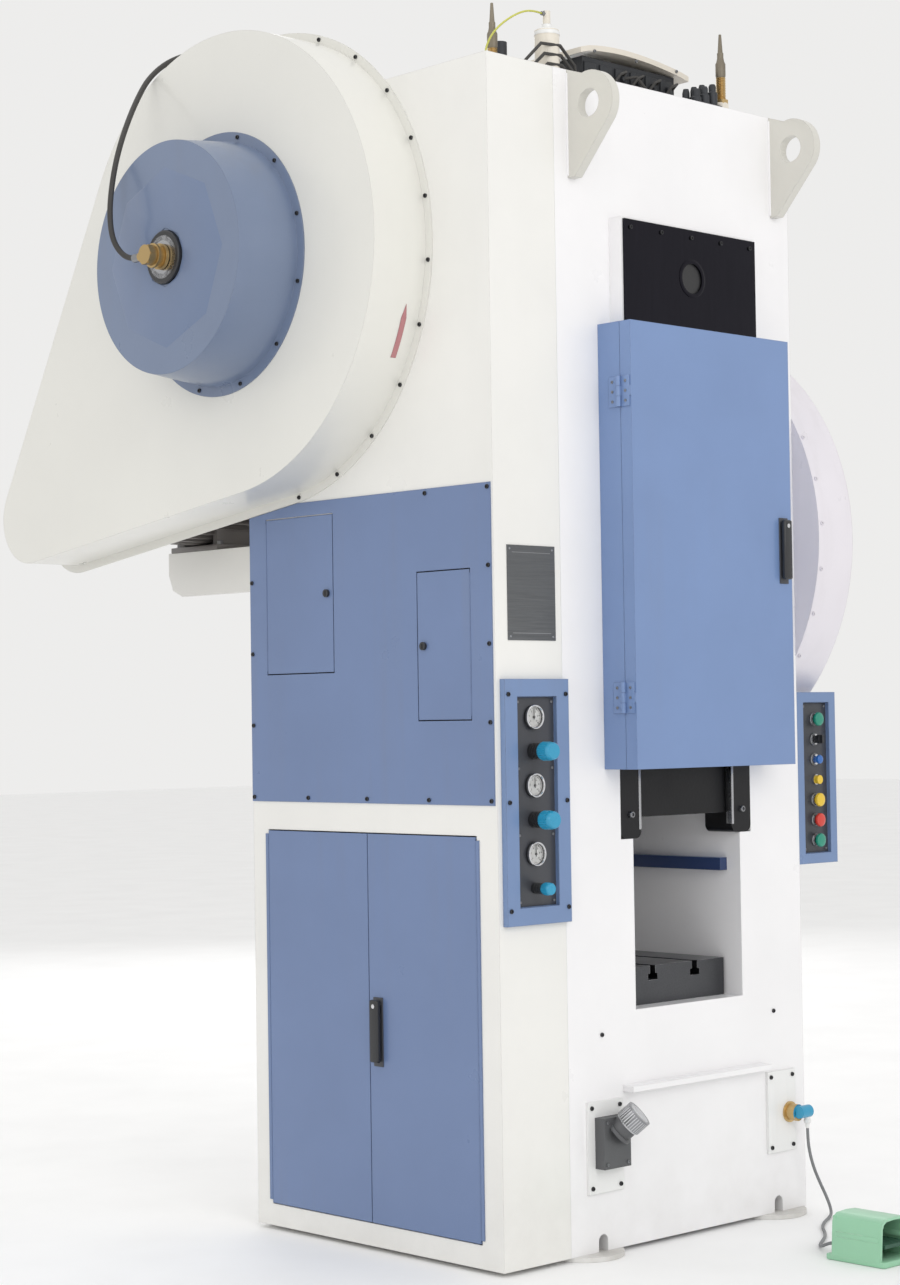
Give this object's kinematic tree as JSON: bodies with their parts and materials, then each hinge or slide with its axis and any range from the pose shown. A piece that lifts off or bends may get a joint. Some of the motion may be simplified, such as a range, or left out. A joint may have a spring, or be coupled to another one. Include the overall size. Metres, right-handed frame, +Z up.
{
  "type": "mechanical stamping press",
  "caption": "Free-standing straight-side geared stamping press with a crank-driven slide, T-slot bolster, flywheel guard, air panel, push buttons and foot switch.",
  "frame": {"origin": "on the floor under the crankshaft's axis and the middle of the die space", "axes": "+X to the right along the front, +Y to the back, +Z up"},
  "size_m": [1.873, 2.669, 3.472],
  "materials": {
    "white_paint": "gloss white paint",
    "side_paint": "satin white paint",
    "blue_panel": "satin blue paint",
    "blue_paint": "satin blue paint",
    "cap_paint": "blue grey paint",
    "black_plastic": "black moulded plastic",
    "brass_metal": "turned brass",
    "dark_steel": "oiled dark steel",
    "dark_iron": "machined casting",
    "belt_rubber": "belt rubber",
    "bright_steel": "turned steel",
    "slide_iron": "oiled dark casting",
    "gib_iron": "oiled dark casting",
    "bolster_steel": "ground steel",
    "navy_paint": "blue paint",
    "motor_paint": "blue grey paint",
    "door_blue": "satin blue paint",
    "name_metal": "dark anodised plate",
    "pale_plate": "white painted plate",
    "gauge_metal": "gauge case metal",
    "knob_blue": "blue knob plastic",
    "button_green": "green plastic",
    "button_blue": "blue plastic",
    "button_yellow": "yellow plastic",
    "button_red": "red plastic",
    "valve_dark": "dark valve bodies",
    "cream_plastic": "cream cover",
    "hose_rubber": "black hose rubber",
    "tube_yellow": "translucent tube",
    "cable_grey": "grey cable sheath",
    "switch_green": "light green paint",
    "treadle_dark": "treadle pad",
    "screw_steel": "zinc plated steel"
  },
  "bodies": {
    "root": {"air_panel": "blue_paint", "air_tube": "tube_yellow", "bearings": "brass_metal", "belt_guard": "side_paint", "bolster": "bolster_steel", "button_station": "blue_paint", "clutch_cap": "cap_paint", "clutch_hose": "hose_rubber", "cover_screws": "screw_steel", "crown_lid": "cream_plastic", "crown_plate": "dark_steel", "crown_spindles": "brass_metal", "crown_valves": "valve_dark", "door_surround": "door_blue", "foot_cable": "cable_grey", "foot_switch": "switch_green", "front_ports": "pale_plate", "gauges_regulators": "gauge_metal", "gear_cover": "side_paint", "gibs": "gib_iron", "machine_pads": "pale_plate", "motor": "motor_paint", "motor_bracket": "side_paint", "nameplate": "name_metal", "press_frame": "white_paint", "rotary_union": "brass_metal", "side_housing": "side_paint", "side_panel": "blue_panel", "side_rails": "navy_paint", "v_belts": "belt_rubber"},
    "guard_door": {"guard_door": "door_blue"},
    "door_handle": {"door_handle": "black_plastic"},
    "cabinet_door_front": {"cabinet_door_front": "blue_panel"},
    "cabinet_door_rear": {"cabinet_door_rear": "blue_panel"},
    "cabinet_handle": {"cabinet_handle": "black_plastic"},
    "hatch_front": {"hatch_front": "blue_panel"},
    "hatch_rear": {"hatch_rear": "blue_panel"},
    "hatch_front_lock": {"hatch_front_lock": "black_plastic"},
    "hatch_rear_lock": {"hatch_rear_lock": "black_plastic"},
    "regulator_knob_1": {"regulator_knob_1": "knob_blue"},
    "regulator_knob_2": {"regulator_knob_2": "knob_blue"},
    "regulator_knob_3": {"regulator_knob_3": "knob_blue"},
    "gauge_needle_1": {"gauge_needle_1": "black_plastic"},
    "gauge_needle_2": {"gauge_needle_2": "black_plastic"},
    "gauge_needle_3": {"gauge_needle_3": "black_plastic"},
    "start_button": {"start_button": "button_green"},
    "selector_knob": {"selector_knob": "black_plastic"},
    "jog_button": {"jog_button": "button_blue"},
    "run_button": {"run_button": "button_yellow"},
    "stop_button": {"stop_button": "button_red"},
    "up_button": {"up_button": "button_green"},
    "foot_treadle": {"foot_treadle": "treadle_dark"},
    "flywheel": {"flywheel": "dark_iron"},
    "motor_pulley": {"motor_pulley": "dark_iron"},
    "crank": {"crankshaft": "bright_steel", "main_gear": "dark_iron"},
    "pinion_shaft": {"pinion_shaft": "bright_steel", "clutch_unit": "dark_steel"},
    "connecting_rod": {"connecting_rod": "dark_iron"},
    "slide": {"slide": "slide_iron"}
  },
  "joints": [
    {"name": "guard_door_swing", "type": "hinge", "parent": "root", "child": "guard_door", "pos_m": [-0.3425, -0.68, 1.911], "axis": [0, 0, -1], "range_deg": [0, 110]},
    {"name": "door_handle_turn", "type": "hinge", "parent": "guard_door", "child": "door_handle", "pos_m": [0.298, -0.725, 1.985], "axis": [0, 1, 0], "range_deg": [0, 90]},
    {"name": "cabinet_door_front_swing", "type": "hinge", "parent": "root", "child": "cabinet_door_front", "pos_m": [-0.748, -0.5185, 0.607], "axis": [0, 0, 1], "range_deg": [0, 110]},
    {"name": "cabinet_door_rear_swing", "type": "hinge", "parent": "root", "child": "cabinet_door_rear", "pos_m": [-0.748, 0.3355, 0.607], "axis": [0, 0, -1], "range_deg": [0, 110]},
    {"name": "cabinet_handle_turn", "type": "hinge", "parent": "cabinet_door_front", "child": "cabinet_handle", "pos_m": [-0.755, -0.129, 0.669], "axis": [-1, 0, 0], "range_deg": [0, 90]},
    {"name": "hatch_front_swing", "type": "hinge", "parent": "root", "child": "hatch_front", "pos_m": [-0.748, -0.5115, 1.644], "axis": [0, 0, 1], "range_deg": [0, 110]},
    {"name": "hatch_rear_swing", "type": "hinge", "parent": "root", "child": "hatch_rear", "pos_m": [-0.748, 0.3285, 1.8045], "axis": [0, 0, -1], "range_deg": [0, 110]},
    {"name": "hatch_front_lock_turn", "type": "hinge", "parent": "hatch_front", "child": "hatch_front_lock", "pos_m": [-0.75, -0.332, 1.644], "axis": [1, 0, 0], "range_deg": [0, 90]},
    {"name": "hatch_rear_lock_turn", "type": "hinge", "parent": "hatch_rear", "child": "hatch_rear_lock", "pos_m": [-0.75, 0.063, 1.8045], "axis": [1, 0, 0], "range_deg": [0, 90]},
    {"name": "regulator_knob_1_turn", "type": "hinge", "parent": "root", "child": "regulator_knob_1", "pos_m": [-0.62, -0.66, 1.36], "axis": [0, -1, 0], "range_deg": [0, 1080]},
    {"name": "regulator_knob_2_turn", "type": "hinge", "parent": "root", "child": "regulator_knob_2", "pos_m": [-0.62, -0.66, 1.18], "axis": [0, -1, 0], "range_deg": [0, 1080]},
    {"name": "regulator_knob_3_turn", "type": "hinge", "parent": "root", "child": "regulator_knob_3", "pos_m": [-0.62, -0.66, 1], "axis": [0, -1, 0], "range_deg": [0, 1080]},
    {"name": "gauge_needle_1_swing", "type": "hinge", "parent": "root", "child": "gauge_needle_1", "pos_m": [-0.62, -0.616, 1.45], "axis": [0, 1, 0], "range_deg": [0, 270]},
    {"name": "gauge_needle_2_swing", "type": "hinge", "parent": "root", "child": "gauge_needle_2", "pos_m": [-0.62, -0.616, 1.27], "axis": [0, 1, 0], "range_deg": [0, 270]},
    {"name": "gauge_needle_3_swing", "type": "hinge", "parent": "root", "child": "gauge_needle_3", "pos_m": [-0.62, -0.616, 1.09], "axis": [0, 1, 0], "range_deg": [0, 270]},
    {"name": "start_button_press", "type": "slide", "parent": "root", "child": "start_button", "axis": [0, 1, 0], "range_m": [0, 0.005], "stiffness_N_per_m": 400, "springref_m": -0.004},
    {"name": "jog_button_press", "type": "slide", "parent": "root", "child": "jog_button", "axis": [0, 1, 0], "range_m": [0, 0.005], "stiffness_N_per_m": 400, "springref_m": -0.004},
    {"name": "run_button_press", "type": "slide", "parent": "root", "child": "run_button", "axis": [0, 1, 0], "range_m": [0, 0.005], "stiffness_N_per_m": 400, "springref_m": -0.004},
    {"name": "stop_button_press", "type": "slide", "parent": "root", "child": "stop_button", "axis": [0, 1, 0], "range_m": [0, 0.005], "stiffness_N_per_m": 400, "springref_m": -0.004},
    {"name": "up_button_press", "type": "slide", "parent": "root", "child": "up_button", "axis": [0, 1, 0], "range_m": [0, 0.005], "stiffness_N_per_m": 400, "springref_m": -0.004},
    {"name": "selector_turn", "type": "hinge", "parent": "root", "child": "selector_knob", "pos_m": [0.585, -0.6, 1.3724], "axis": [0, 1, 0], "range_deg": [-45, 45]},
    {"name": "foot_treadle_press", "type": "hinge", "parent": "root", "child": "foot_treadle", "pos_m": [0.066, -1.108, 0.053], "axis": [1, 0, 0], "range_deg": [0, 8], "stiffness_Nm_per_rad": 20, "springref_deg": -11.46},
    {"name": "flywheel_spin", "type": "hinge", "parent": "root", "child": "flywheel", "pos_m": [0, 0.293, 2.73815], "axis": [1, 0, 0], "continuous": true},
    {"name": "motor_pulley_spin", "type": "hinge", "parent": "root", "child": "motor_pulley", "pos_m": [0, 1.06, 2.142], "axis": [1, 0, 0], "continuous": true},
    {"name": "crank_spin", "type": "hinge", "parent": "root", "child": "crank", "pos_m": [0, 0, 1.968], "axis": [1, 0, 0], "continuous": true},
    {"name": "pinion_shaft_spin", "type": "hinge", "parent": "root", "child": "pinion_shaft", "pos_m": [0, 0.293, 2.73815], "axis": [1, 0, 0], "continuous": true},
    {"name": "connecting_rod_swing", "type": "hinge", "parent": "crank", "child": "connecting_rod", "pos_m": [0, 0, 2.028], "axis": [1, 0, 0], "continuous": true},
    {"name": "slide_stroke", "type": "slide", "parent": "root", "child": "slide", "axis": [0, 0, 1], "range_m": [-0.12, 0]}
  ],
  "couplings": [
    {"joint": "motor_pulley_spin", "follows": "flywheel_spin", "ratio": 4.6154},
    {"joint": "pinion_shaft_spin", "follows": "crank_spin", "ratio": -3.4783},
    {"joint": "connecting_rod_swing", "follows": "crank_spin", "ratio": -1}
  ]
}
